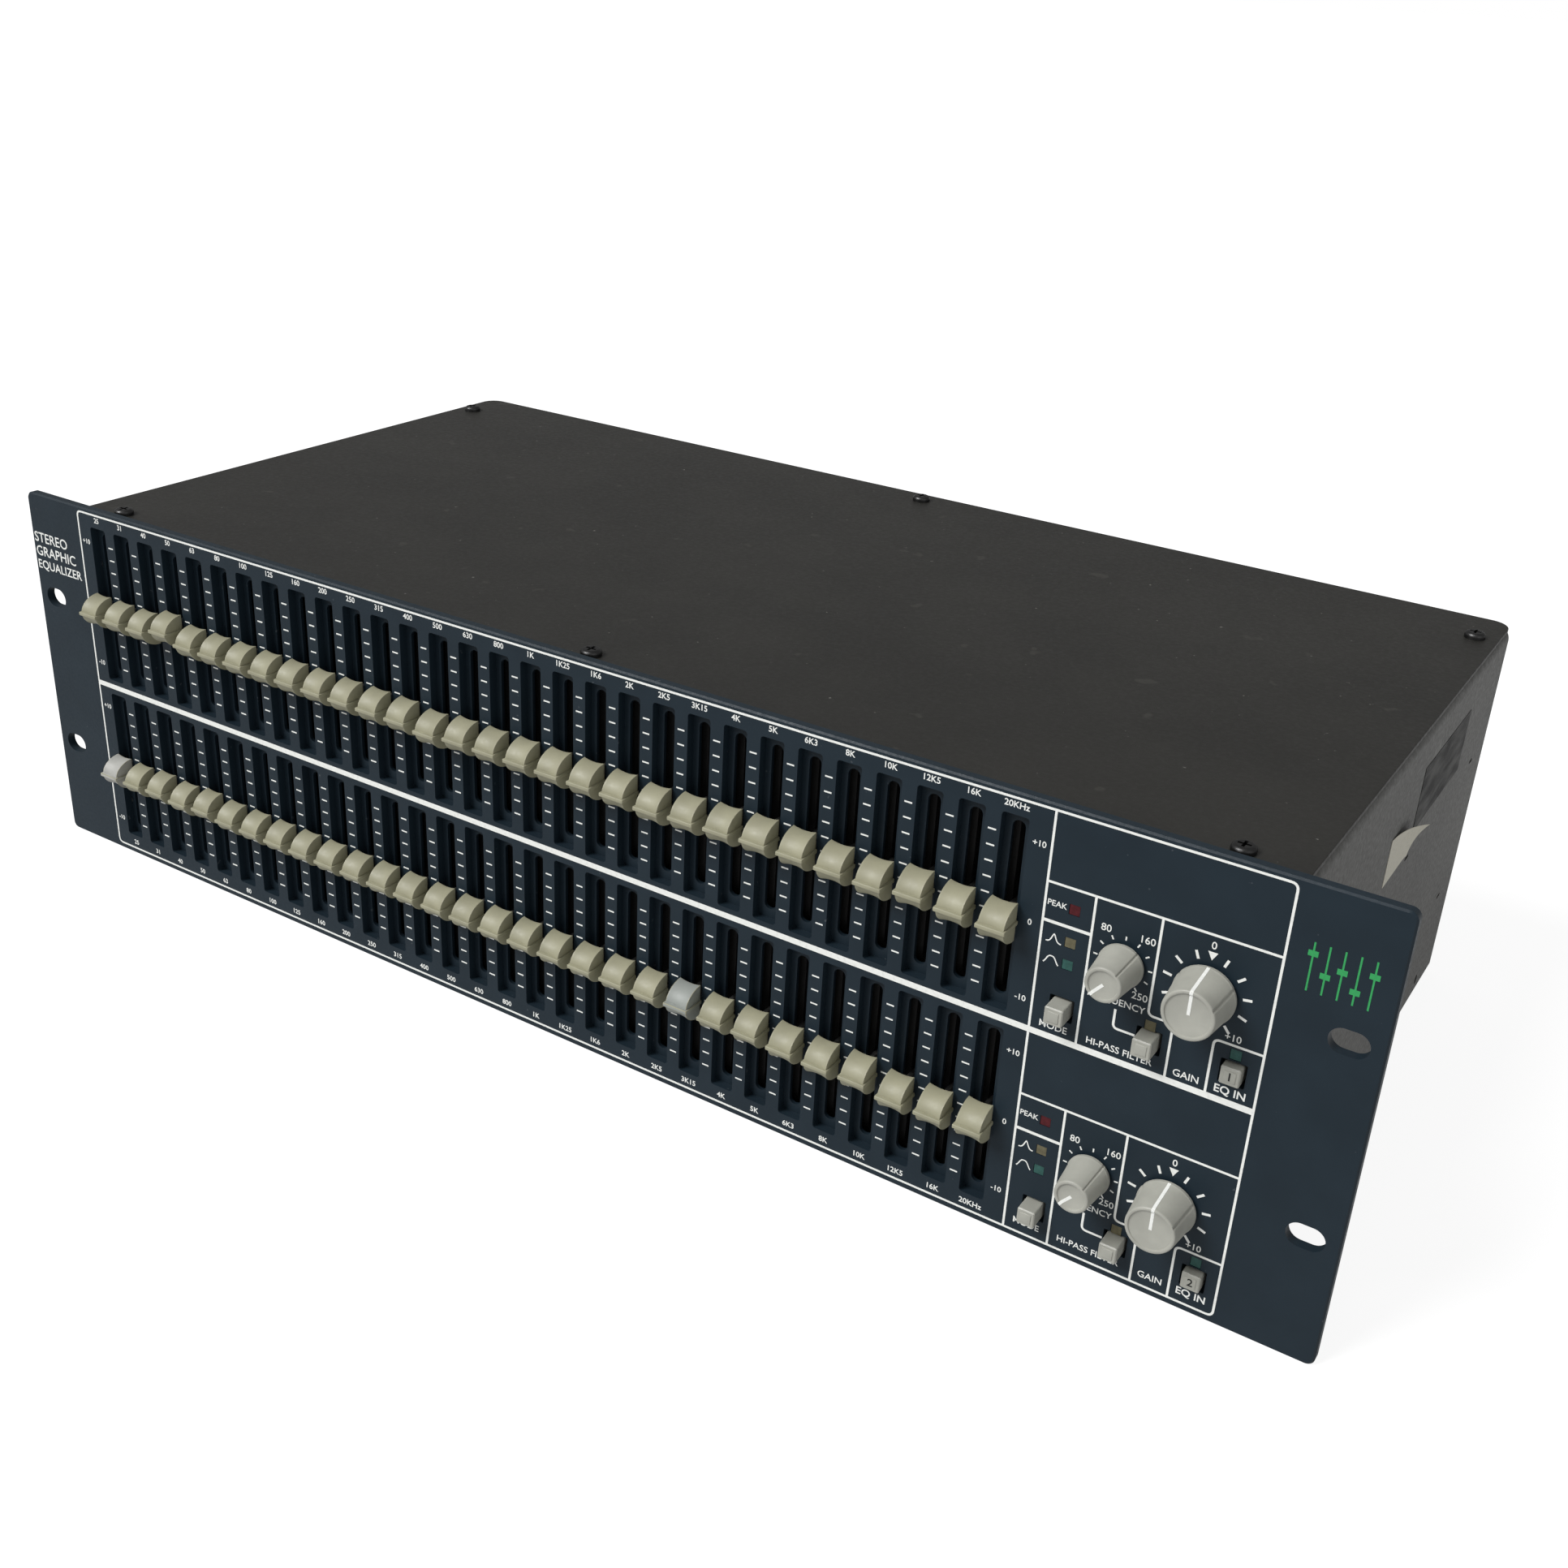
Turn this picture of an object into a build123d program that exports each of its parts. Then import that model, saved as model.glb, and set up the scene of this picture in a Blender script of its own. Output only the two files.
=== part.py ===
"""Two-channel third-octave graphic equalizer, three rack units high.

Millimetres. X runs to the right along the front panel, Y runs into the case, and Z is up. The origin is the
centre of the four rack slots, on the front face of the panel.
"""

import os

from build123d import *

os.makedirs("parts", exist_ok=True)

# Rack panel
PANEL_WIDTH = 482.6
PANEL_HEIGHT = 132.5
PANEL_THICK = 3.0
PANEL_CORNER = 2.5
PANEL_EDGE_CHAMFER = 0.5
RACK_SLOT_PITCH_X = 465.1
RACK_SLOT_PITCH_Z = 57.15
RACK_SLOT_LENGTH = 10.0
RACK_SLOT_WIDTH = 7.0

# Case
SHEET = 1.2
CASE_WIDTH = 431.0
CASE_BACK = 216.0
CASE_BOTTOM = -64.75
CASE_TOP = 64.75
SIDE_BEND = 4.5
FLOOR_BEND = 2.0
FLANGE_WIDTH = 14.0
INNER_HALF_WIDTH = CASE_WIDTH / 2 - SHEET
FLOOR_TOP = CASE_BOTTOM + SHEET
LID_UNDERSIDE = CASE_TOP - SHEET
SUB_PANEL_BACK = PANEL_THICK + SHEET
RETURN_DEPTH = 14.0
WALL_NOTCH = 2.0
LID_CORNER = 6.0

# Faders
BANDS = 30
BAND_PITCH = 12.0
FIRST_BAND_X = -204.5
ROW_ZERO = {"upper": 31.75, "lower": -30.25}
FADER_SLOT_WIDTH = 7.6
FADER_SLOT_LENGTH = 56.5
LEVER_SLOT_WIDTH = 3.7
LEVER_SLOT_LENGTH = 51.0
LEVER_WIDTH = 1.2
LEVER_HEIGHT = 5.0
LEVER_TIP = -5.5
LEVER_FOOT = 11.5
TRACK_WIDTH = 8.0
TRACK_LENGTH = 60.0
TRACK_FRONT = 7.0
TRACK_BACK = 14.0
TRACK_SLOT_WIDTH = 2.4
TRACK_SLOT_LENGTH = 52.5
TRACK_SLOT_DEPTH = 5.5
BOARD_THICK = 1.6

# Fader caps
CAP_WIDTH = 7.4
CAP_HEIGHT = 11.2
CAP_BACK = -0.4
CAP_FRONT = -7.9
CAP_HOLLOW = 0.55
RIDGE_WIDTH = 8.5
RIDGE_THICK = 1.3
RIDGE_BACK = -0.5
RIDGE_FRONT = -8.5
FIT_GAP = 0.05

# How far each row's caps stand from their zero marks
ROW_REST = -1.0
CAP_OFFSETS = {
    "upper": {3: 2.2, 13: -1.0, 20: -0.7, 22: 0.4, 23: 0.8, 24: 0.8, 25: 0.3, 27: 1.2, 28: 0.5},
    "lower": {2: 0.6, 4: 0.8, 21: 0.5, 22: 0.25, 23: 0.5, 25: -0.3, 27: -1.6, 28: -1.25, 29: -0.4},
}
OCTAVES = ["31hz", "63hz", "125hz", "250hz", "500hz", "1khz", "2khz", "4khz", "8khz", "16khz"]
BANDS_PER_OCTAVE = 3

# Controls of the upper channel; the lower channel's stand CHANNEL_DROP below them
CHANNEL_DROP = 64.3
MODE_BUTTON = (162.0, 10.2)
FILTER_BUTTON = (185.7, 10.1)
EQ_BUTTON = (207.6, 9.6)
GAIN_KNOB = (197.8, 28.9)
FREQUENCY_KNOB = (176.2, 29.0)
PEAK_LAMP = (162.05, 39.15)
AMBER_LAMPS = [(162.05, 29.65), (185.6, 14.45)]
GREEN_LAMPS = [(162.05, 23.25), (207.6, 14.85)]
BUTTON_SIZE = 5.1
BUTTON_HOLE = 6.8
BUTTON_OUT = -5.0
BUTTON_IN = -2.0
BUTTON_BODY_LENGTH = 11.0
STEM_SIZE = 3.0
STEM_LENGTH = 7.0
LAMP_WINDOW = 3.0
LAMP_SIZE = 2.8
SHAFT_RADIUS = 3.0
SHAFT_HOLE_RADIUS = 3.75
SHAFT_TIP = -10.0
SHAFT_FOOT = 16.0
CONTROL_BOARD_FRONT = 20.0
CONTROL_BOARD_CENTRE = (183.5, -3.0)
CONTROL_BOARD_WIDTH = 58.0
CONTROL_BOARD_HEIGHT = 116.0
FADER_BOARD_HEIGHT = 122.0
KNOB_BACK = -0.8
KNOB_FRONT = -12.5
KNOB_RECESS = 0.5

# Screws
SCREW_HEAD_RADIUS = 3.2
SCREW_HEAD_HEIGHT = 2.0
SCREW_RADIUS = 1.5
SCREW_LENGTH = 2.8
SCREW_HOLE_RADIUS = 1.7
LID_SCREWS = [(-199.0, 7.5), (4.0, 7.5), (198.5, 7.5), (-208.4, 195.0), (208.4, 195.0), (3.0, 208.0)]
STUD_RADIUS = 1.5
STUD_LENGTH = 3.9
STUDS = [
    (-209.5, 46.0), (-209.5, -46.0), (-126.5, 0.75), (-18.5, 0.75),
    (89.5, 0.75), (150.2, 0.75), (209.0, 50.0), (209.0, -35.0),
]
NUT_RADIUS = 3.0
NUT_THICK = 2.4

# Parts on the control board
POT_FRONT = 10.5
POT_RADIUS = 8.0
POT_BUSHING_RADIUS = 4.0
SWITCH_FRONT = 13.0
SWITCH_SIZE = 6.0
LAMP_FRONT = 0.15
LAMP_FOOT = 10.0
LAMP_LEG_PITCH = 2.0

# Main board
MAIN_BOARD_BOTTOM = FLOOR_TOP + 8.0
MAIN_BOARD_TOP = MAIN_BOARD_BOTTOM + BOARD_THICK
MAIN_BOARD_WIDTH = 270.0
MAIN_BOARD_DEPTH = 150.0
MAIN_BOARD_CENTRE = (-70.0, 115.0)
BOARD_HOLE_PITCH = (125.0, 138.0)

CHIP_FIELD_CENTRE = (-96.0, 115.0)
SUPPLY_CAPACITORS = [(35.0, 80.0), (35.0, 112.0)]
HEAT_SINK_CENTRE = (35.0, 160.0)
RIBBON_CENTRES = [-140.0, -10.0]
RIBBON_WIDTH = 26.0
RIBBON_TOP = -30.0
RIBBON_THICK = 1.0
RIBBON_DROP_Y = 45.0

# Mains parts
TRANSFORMER_CENTRE = (145.0, 120.0)
TRANSFORMER_RADIUS = 45.0
TRANSFORMER_EYE = 16.0
TRANSFORMER_HEIGHT = 38.0

# Rear connectors, as x and z on the rear panel
INPUT_SOCKETS = [(-185.0, 10.0), (-95.0, 10.0)]
OUTPUT_SOCKETS = [(-145.0, 10.0), (-55.0, 10.0)]
INLET = (165.0, 10.0)
FUSE = (120.0, 10.0)
SOCKET_BARREL_RADIUS = 11.8
SOCKET_HOLE_RADIUS = 12.0
SOCKET_PLATE = (26.0, 31.0)
SOCKET_SCREW_PITCH = (19.0, 24.0)
INLET_BODY = (27.0, 19.5)
INLET_SCREW_PITCH = 40.0
FUSE_RADIUS = 6.0
FUSE_CAP_LENGTH = 9.0
CONTACT_CIRCLE_RADIUS = 5.2
PLUG_CUP_RADIUS = 9.3
PLUG_CUP_DEPTH = 14.0
INLET_MOUTH = (24.0, 16.5)
INLET_DEPTH = 16.0
INLET_BLADES = [(-7.0, -2.0), (7.0, -2.0), (0.0, 2.5)]
REAR_INNER = CASE_BACK - SHEET


def upright(y):
    """A plane facing the front, at depth y: its own x and y run along X and Z."""
    return Plane.XZ.offset(-y)


def band_x(band):
    """The centre of one band's fader along the panel."""
    return FIRST_BAND_X + BAND_PITCH * band


def both_channels(points):
    """The points of the upper channel and the same points of the lower one."""
    return list(points) + [(x, z - CHANNEL_DROP) for x, z in points]


def fader_points():
    """The zero point of every fader on the panel."""
    return [(band_x(band), zero) for zero in ROW_ZERO.values() for band in range(BANDS)]


def socket_screw_points():
    """The two screws of each round socket, on opposite corners of its plate."""
    half_x, half_z = SOCKET_SCREW_PITCH[0] / 2, SOCKET_SCREW_PITCH[1] / 2
    sockets = INPUT_SOCKETS + OUTPUT_SOCKETS
    return [(x + side * half_x, z - side * half_z) for x, z in sockets for side in (-1, 1)]


def end_wall(wall_front, return_front):
    """A sheet wall between the tray's sides, with a return under the lid."""
    middle = (FLOOR_TOP + LID_UNDERSIDE) / 2
    with BuildPart() as wall:
        with BuildSketch(upright(wall_front)):
            with Locations((0, middle)):
                Rectangle(CASE_WIDTH - 2 * FLANGE_WIDTH, LID_UNDERSIDE - FLOOR_TOP)
                Rectangle(CASE_WIDTH - 2 * SIDE_BEND, LID_UNDERSIDE - FLOOR_TOP - 2 * WALL_NOTCH)
        extrude(amount=-SHEET)
        with BuildSketch(Plane.XY.offset(LID_UNDERSIDE)):
            with Locations((0, return_front + RETURN_DEPTH / 2)):
                Rectangle(CASE_WIDTH - 2 * FLANGE_WIDTH, RETURN_DEPTH)
        extrude(amount=-SHEET)
    return wall.part


def write(piece, name):
    """Label one finished piece and write it to its own file."""
    piece.label = name
    export_step(piece, f"parts/{name}.step")


BUTTONS = both_channels([MODE_BUTTON, FILTER_BUTTON, EQ_BUTTON])
LAMPS = both_channels([PEAK_LAMP] + AMBER_LAMPS + GREEN_LAMPS)
SHAFTS = both_channels([GAIN_KNOB, FREQUENCY_KNOB])

# ---- Front panel: a flat plate ----
with BuildPart() as front_panel:
    with BuildSketch(upright(0)):
        RectangleRounded(PANEL_WIDTH, PANEL_HEIGHT, PANEL_CORNER)
    extrude(amount=-PANEL_THICK)
    chamfer(faces().sort_by(Axis.Y)[0].edges(), PANEL_EDGE_CHAMFER)
    with BuildSketch(upright(0)):
        with GridLocations(RACK_SLOT_PITCH_X, RACK_SLOT_PITCH_Z, 2, 2):
            SlotOverall(RACK_SLOT_LENGTH, RACK_SLOT_WIDTH)
        with Locations(*fader_points()):
            RectangleRounded(FADER_SLOT_WIDTH, FADER_SLOT_LENGTH, 1.0)
        with Locations(*BUTTONS):
            RectangleRounded(BUTTON_HOLE, BUTTON_HOLE, 0.4)
        with Locations(*LAMPS):
            Rectangle(LAMP_WINDOW, LAMP_WINDOW)
        with Locations(*SHAFTS):
            Circle(SHAFT_HOLE_RADIUS)
    extrude(amount=-PANEL_THICK, mode=Mode.SUBTRACT)
write(front_panel.part, "front_panel")

# ---- Sub-panel: the slotted front wall of the chassis ----
with BuildPart() as sub_panel:
    add(end_wall(PANEL_THICK, PANEL_THICK))
    with BuildSketch(upright(PANEL_THICK)):
        with Locations(*fader_points()):
            SlotOverall(LEVER_SLOT_LENGTH, LEVER_SLOT_WIDTH, rotation=90)
        with Locations(*BUTTONS):
            Rectangle(BUTTON_HOLE + 0.6, BUTTON_HOLE + 0.6)
        with Locations(*LAMPS):
            Rectangle(LAMP_WINDOW + 0.6, LAMP_WINDOW + 0.6)
        with Locations(*SHAFTS):
            Circle(SHAFT_HOLE_RADIUS + 0.5)
        with Locations(*STUDS):
            Circle(STUD_RADIUS + 0.2)
    extrude(amount=-SHEET, mode=Mode.SUBTRACT)
    with BuildSketch(Plane.XY.offset(LID_UNDERSIDE)):
        with Locations(*LID_SCREWS[:3]):
            Circle(SCREW_HOLE_RADIUS)
    extrude(amount=-SHEET, mode=Mode.SUBTRACT)
write(sub_panel.part, "sub_panel")

# ---- Weld studs on the panel's back, and the nuts that hold the sub-panel on them ----
with BuildPart() as panel_studs:
    with BuildSketch(upright(PANEL_THICK)):
        with Locations(*STUDS):
            Circle(STUD_RADIUS)
    extrude(amount=-STUD_LENGTH)
    with BuildSketch(upright(SUB_PANEL_BACK)):
        with Locations(*STUDS):
            RegularPolygon(NUT_RADIUS, 6)
            Circle(STUD_RADIUS + 0.1, mode=Mode.SUBTRACT)
    extrude(amount=-NUT_THICK)
write(panel_studs.part, "panel_studs")

# ---- Chassis tray: floor and two sides folded from one sheet, with flanges for the lid ----
with BuildPart() as chassis_tray:
    with BuildSketch(upright(PANEL_THICK)) as tray_section:
        with Locations((0, (CASE_BOTTOM + LID_UNDERSIDE) / 2)):
            Rectangle(CASE_WIDTH, LID_UNDERSIDE - CASE_BOTTOM)
        fillet(tray_section.vertices().group_by(Axis.Y)[-1], SIDE_BEND)
        fillet(tray_section.vertices().group_by(Axis.Y)[0], FLOOR_BEND)
        offset(amount=-SHEET, mode=Mode.SUBTRACT)
        with Locations((0, LID_UNDERSIDE)):
            Rectangle(CASE_WIDTH - 2 * FLANGE_WIDTH, 4 * SHEET, mode=Mode.SUBTRACT)
    extrude(amount=PANEL_THICK - CASE_BACK)
    with BuildSketch(Plane.XY.offset(LID_UNDERSIDE)):
        with Locations(*LID_SCREWS[3:5]):
            Circle(SCREW_HOLE_RADIUS)
    extrude(amount=-SHEET, mode=Mode.SUBTRACT)
    with BuildSketch(Plane.YZ):
        with Locations((197.8, 22.75), (121.6, 19.75), (198.0, -27.65)):
            SlotOverall(4.0, 1.2)
        with Locations((193.0, -58.25)):
            Circle(SCREW_HOLE_RADIUS)
    extrude(amount=CASE_WIDTH, both=True, mode=Mode.SUBTRACT)
write(chassis_tray.part, "chassis_tray")

# ---- Rear panel, cut for the connectors ----
with BuildPart() as rear_panel:
    add(end_wall(REAR_INNER, CASE_BACK - RETURN_DEPTH))
    with BuildSketch(upright(REAR_INNER)):
        with Locations(*(INPUT_SOCKETS + OUTPUT_SOCKETS)):
            Circle(SOCKET_HOLE_RADIUS)
        with Locations(*socket_screw_points()):
            Circle(SCREW_HOLE_RADIUS)
        with Locations(INLET):
            Rectangle(INLET_BODY[0] + 0.4, INLET_BODY[1] + 0.4)
            with GridLocations(INLET_SCREW_PITCH, 1, 2, 1):
                Circle(SCREW_HOLE_RADIUS)
        with Locations(FUSE):
            Circle(FUSE_RADIUS + 0.2)
    extrude(amount=-SHEET, mode=Mode.SUBTRACT)
    with BuildSketch(Plane.XY.offset(LID_UNDERSIDE)):
        with Locations(LID_SCREWS[5]):
            Circle(SCREW_HOLE_RADIUS)
    extrude(amount=-SHEET, mode=Mode.SUBTRACT)
write(rear_panel.part, "rear_panel")

# ---- Top cover: a flat lid with rounded rear corners ----
with BuildPart() as top_cover:
    with BuildSketch(Plane.XY.offset(LID_UNDERSIDE)) as lid_outline:
        with Locations((0, (PANEL_THICK + CASE_BACK) / 2)):
            Rectangle(CASE_WIDTH, CASE_BACK - PANEL_THICK)
        fillet(lid_outline.vertices().group_by(Axis.Y)[-1], LID_CORNER)
        with Locations(*LID_SCREWS):
            Circle(SCREW_HOLE_RADIUS, mode=Mode.SUBTRACT)
    extrude(amount=SHEET)
    fillet(top_cover.faces().sort_by(Axis.Z)[-1].outer_wire().edges(), 0.3)
write(top_cover.part, "top_cover")

# ---- Screws: one cross-recess pan-head pattern, used on the lid, boards and rear panel ----
with BuildPart() as pan_screw:
    Cylinder(SCREW_HEAD_RADIUS, SCREW_HEAD_HEIGHT, align=(Align.CENTER, Align.CENTER, Align.MIN))
    fillet(pan_screw.faces().sort_by(Axis.Z)[-1].edges(), 1.2)
    with BuildSketch(Plane.XY.offset(SCREW_HEAD_HEIGHT)):
        Rectangle(3.4, 0.8)
        Rectangle(0.8, 3.4)
    extrude(amount=-1.1, mode=Mode.SUBTRACT)
    with BuildSketch():
        Circle(SCREW_RADIUS)
    extrude(amount=-SCREW_LENGTH)

with BuildPart() as cover_screws:
    for x, y in LID_SCREWS:
        with Locations((x, y, CASE_TOP)):
            add(pan_screw.part)
write(cover_screws.part, "cover_screws")

# ---- Slide potentiometers: one body behind each fader slot ----
with BuildPart() as fader_tracks:
    with BuildSketch(upright(TRACK_FRONT)):
        with Locations(*fader_points()):
            RectangleRounded(TRACK_WIDTH, TRACK_LENGTH, 0.6)
    extrude(amount=TRACK_FRONT - TRACK_BACK)
    with BuildSketch(upright(TRACK_FRONT)):
        with Locations(*fader_points()):
            SlotOverall(TRACK_SLOT_LENGTH, TRACK_SLOT_WIDTH, rotation=90)
    extrude(amount=-TRACK_SLOT_DEPTH, mode=Mode.SUBTRACT)
write(fader_tracks.part, "fader_tracks")

# ---- Fader board: carries all the slide potentiometers ----
with BuildPart() as fader_board:
    with BuildSketch(upright(TRACK_BACK)):
        with Locations(((band_x(0) + band_x(BANDS - 1)) / 2, (FLOOR_TOP + LID_UNDERSIDE) / 2 - 1)):
            Rectangle(BAND_PITCH * BANDS, FADER_BOARD_HEIGHT)
    extrude(amount=-BOARD_THICK)
write(fader_board.part, "fader_board")

# ---- Fader cap: a round-sided block, hollowed across its width, with a finger ridge round its middle ----
cap_depth = CAP_BACK - CAP_FRONT
cap_radius = (cap_depth**2 + (CAP_HEIGHT / 2) ** 2) / (2 * cap_depth)
hollow_radius = ((CAP_WIDTH / 2) ** 2 + CAP_HOLLOW**2) / (2 * CAP_HOLLOW)
cap_centre = CAP_FRONT + cap_radius
with BuildPart() as fader_cap:
    with BuildSketch(Plane.YZ):
        with BuildLine():
            ThreePointArc((CAP_BACK, -CAP_HEIGHT / 2), (CAP_FRONT, 0), (CAP_BACK, CAP_HEIGHT / 2))
            Line((CAP_BACK, CAP_HEIGHT / 2), (CAP_BACK, -CAP_HEIGHT / 2))
        make_face()
    extrude(amount=CAP_WIDTH / 2, both=True)
    with BuildSketch(Plane.XY):
        with Locations((0, cap_centre - cap_radius - hollow_radius + CAP_HOLLOW)):
            Circle(hollow_radius)
    revolve(axis=Axis((0, cap_centre, 0), (1, 0, 0)), mode=Mode.SUBTRACT)
    with BuildSketch(Plane.XY):
        with Locations((0, (RIDGE_BACK + RIDGE_FRONT) / 2)):
            RectangleRounded(RIDGE_WIDTH, RIDGE_BACK - RIDGE_FRONT, 0.4)
    extrude(amount=RIDGE_THICK / 2, both=True)
    with BuildSketch(upright(CAP_BACK)):
        Rectangle(LEVER_WIDTH + 2 * FIT_GAP, LEVER_HEIGHT + 2 * FIT_GAP)
    extrude(amount=CAP_BACK - LEVER_TIP + FIT_GAP, mode=Mode.SUBTRACT)

# ---- Fader lever: the flat tongue that joins a cap to the wiper in its track ----
with BuildPart() as fader_lever:
    with BuildSketch(upright(LEVER_TIP)):
        Rectangle(LEVER_WIDTH, LEVER_HEIGHT)
    extrude(amount=LEVER_TIP - LEVER_FOOT)


def cap_height(row, band):
    """The height at which one cap rests."""
    return ROW_ZERO[row] + ROW_REST + CAP_OFFSETS[row].get(band, 0.0)


# ---- Faders: the three caps and levers of each octave slide as one piece ----
for row in ROW_ZERO:
    for octave, octave_name in enumerate(OCTAVES):
        with BuildPart() as faders:
            for band in range(octave * BANDS_PER_OCTAVE, (octave + 1) * BANDS_PER_OCTAVE):
                with Locations((band_x(band), 0, cap_height(row, band))):
                    add(fader_cap.part)
                    add(fader_lever.part)
        write(faders.part, f"{row}_faders_{octave_name}")

# ---- Knobs: a tapered body with a rimmed, recessed cap, and the shaft that it turns ----
with BuildPart() as shaft:
    with BuildSketch(upright(SHAFT_TIP)):
        Circle(SHAFT_RADIUS)
    extrude(amount=SHAFT_TIP - SHAFT_FOOT)


def knob(base_radius, front_radius):
    """One knob about the Y axis, hollow for its shaft."""
    rim = front_radius - 1.0
    with BuildPart() as body:
        with BuildSketch(Plane.XY):
            with BuildLine():
                Polyline(
                    (0, KNOB_BACK),
                    (base_radius, KNOB_BACK),
                    (base_radius, KNOB_BACK - 1.0),
                    (front_radius, KNOB_FRONT + 0.4),
                    (front_radius - 0.4, KNOB_FRONT),
                    (rim, KNOB_FRONT),
                    (rim - 0.2, KNOB_FRONT + KNOB_RECESS),
                    (0, KNOB_FRONT + KNOB_RECESS),
                    close=True,
                )
            make_face()
        revolve(axis=Axis.Y)
        with BuildSketch(upright(KNOB_BACK)):
            Circle(SHAFT_RADIUS + FIT_GAP)
        extrude(amount=KNOB_BACK - SHAFT_TIP + FIT_GAP, mode=Mode.SUBTRACT)
    return body.part


KNOBS = {
    "gain_knob": (GAIN_KNOB, knob(8.0, 6.75)),
    "frequency_knob": (FREQUENCY_KNOB, knob(6.0, 4.8)),
}
for row, drop in (("upper", 0.0), ("lower", CHANNEL_DROP)):
    for name, (centre, shape) in KNOBS.items():
        with BuildPart() as turned:
            with Locations((centre[0], 0, centre[1] - drop)):
                add(shape)
                add(shaft.part)
        write(turned.part, f"{row}_{name}")

# ---- Push buttons: a square cap with a stem that reaches into its switch ----
for row, drop in (("upper", 0.0), ("lower", CHANNEL_DROP)):
    for name, (x, z), front in (
        ("mode_button", MODE_BUTTON, BUTTON_OUT),
        ("filter_button", FILTER_BUTTON, BUTTON_OUT),
        ("eq_button", EQ_BUTTON, BUTTON_IN),
    ):
        with BuildPart() as button:
            with BuildSketch(upright(front)):
                with Locations((x, z - drop)):
                    RectangleRounded(BUTTON_SIZE, BUTTON_SIZE, 0.5)
            extrude(amount=-BUTTON_BODY_LENGTH)
            chamfer(button.faces().sort_by(Axis.Y)[0].edges(), 0.3)
            with BuildSketch(upright(front + BUTTON_BODY_LENGTH)):
                with Locations((x, z - drop)):
                    Rectangle(STEM_SIZE, STEM_SIZE)
            extrude(amount=-STEM_LENGTH)
        write(button.part, f"{row}_{name}")

# ---- Control board: an upright board behind the knobs, buttons and lamps ----
with BuildPart() as control_board:
    with BuildSketch(upright(CONTROL_BOARD_FRONT)):
        with Locations(CONTROL_BOARD_CENTRE):
            Rectangle(CONTROL_BOARD_WIDTH, CONTROL_BOARD_HEIGHT)
    extrude(amount=-BOARD_THICK)
write(control_board.part, "control_board")

# ---- Rotary potentiometers: a round can with a bushing, bored for the knob's shaft ----
with BuildPart() as control_pots:
    with BuildSketch(upright(POT_FRONT)):
        with Locations(*SHAFTS):
            Circle(POT_RADIUS)
    extrude(amount=POT_FRONT - CONTROL_BOARD_FRONT)
    with BuildSketch(upright(SUB_PANEL_BACK + 0.8)):
        with Locations(*SHAFTS):
            Circle(POT_BUSHING_RADIUS)
    extrude(amount=SUB_PANEL_BACK + 0.8 - POT_FRONT)
    with BuildSketch(upright(SUB_PANEL_BACK)):
        with Locations(*SHAFTS):
            Circle(SHAFT_RADIUS + FIT_GAP)
    extrude(amount=SUB_PANEL_BACK - SHAFT_FOOT - 0.5, mode=Mode.SUBTRACT)
write(control_pots.part, "control_pots")

# ---- Push switches: a square body with a well for the button's stem ----
with BuildPart() as push_switches:
    with BuildSketch(upright(SWITCH_FRONT)):
        with Locations(*BUTTONS):
            Rectangle(SWITCH_SIZE, SWITCH_SIZE)
    extrude(amount=SWITCH_FRONT - CONTROL_BOARD_FRONT)
    with BuildSketch(upright(SWITCH_FRONT)):
        with Locations(*BUTTONS):
            Rectangle(STEM_SIZE + 0.7, STEM_SIZE + 0.7)
    extrude(amount=-6.5, mode=Mode.SUBTRACT)
write(push_switches.part, "push_switches")


def lamps(points, name):
    """Flush square lamps with a wider foot and two legs to the control board."""
    with BuildPart() as lamp:
        with BuildSketch(upright(LAMP_FRONT)):
            with Locations(*both_channels(points)):
                Rectangle(LAMP_SIZE, LAMP_SIZE)
        extrude(amount=LAMP_FRONT - LAMP_FOOT)
        with BuildSketch(upright(LAMP_FOOT)):
            with Locations(*both_channels(points)):
                Rectangle(LAMP_SIZE + 1.2, LAMP_SIZE + 1.2)
        extrude(amount=-1.5)
        with BuildSketch(upright(LAMP_FOOT + 1.5)):
            with Locations(*both_channels(points)):
                with GridLocations(1, LAMP_LEG_PITCH, 1, 2):
                    Rectangle(0.5, 0.5)
        extrude(amount=LAMP_FOOT + 1.5 - CONTROL_BOARD_FRONT)
    write(lamp.part, name)


lamps([PEAK_LAMP], "peak_lamps")
lamps(AMBER_LAMPS, "amber_lamps")
lamps(GREEN_LAMPS, "green_lamps")

# ---- Main board, on six standoffs above the tray's floor ----
with BuildPart() as main_board:
    with BuildSketch(Plane.XY.offset(MAIN_BOARD_BOTTOM)):
        with Locations(MAIN_BOARD_CENTRE):
            Rectangle(MAIN_BOARD_WIDTH, MAIN_BOARD_DEPTH)
            with GridLocations(*BOARD_HOLE_PITCH, 3, 2):
                Circle(SCREW_HOLE_RADIUS, mode=Mode.SUBTRACT)
    extrude(amount=BOARD_THICK)
write(main_board.part, "main_board")

with BuildPart() as board_standoffs:
    with BuildSketch(Plane.XY.offset(FLOOR_TOP)):
        with Locations(MAIN_BOARD_CENTRE):
            with GridLocations(*BOARD_HOLE_PITCH, 3, 2):
                RegularPolygon(3.0, 6)
    extrude(amount=MAIN_BOARD_BOTTOM - FLOOR_TOP)
    with BuildSketch(Plane.XY.offset(MAIN_BOARD_BOTTOM)):
        with Locations(MAIN_BOARD_CENTRE):
            with GridLocations(*BOARD_HOLE_PITCH, 3, 2):
                Circle(SCREW_RADIUS + 0.1)
    extrude(amount=-SCREW_LENGTH, mode=Mode.SUBTRACT)
write(board_standoffs.part, "board_standoffs")

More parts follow.
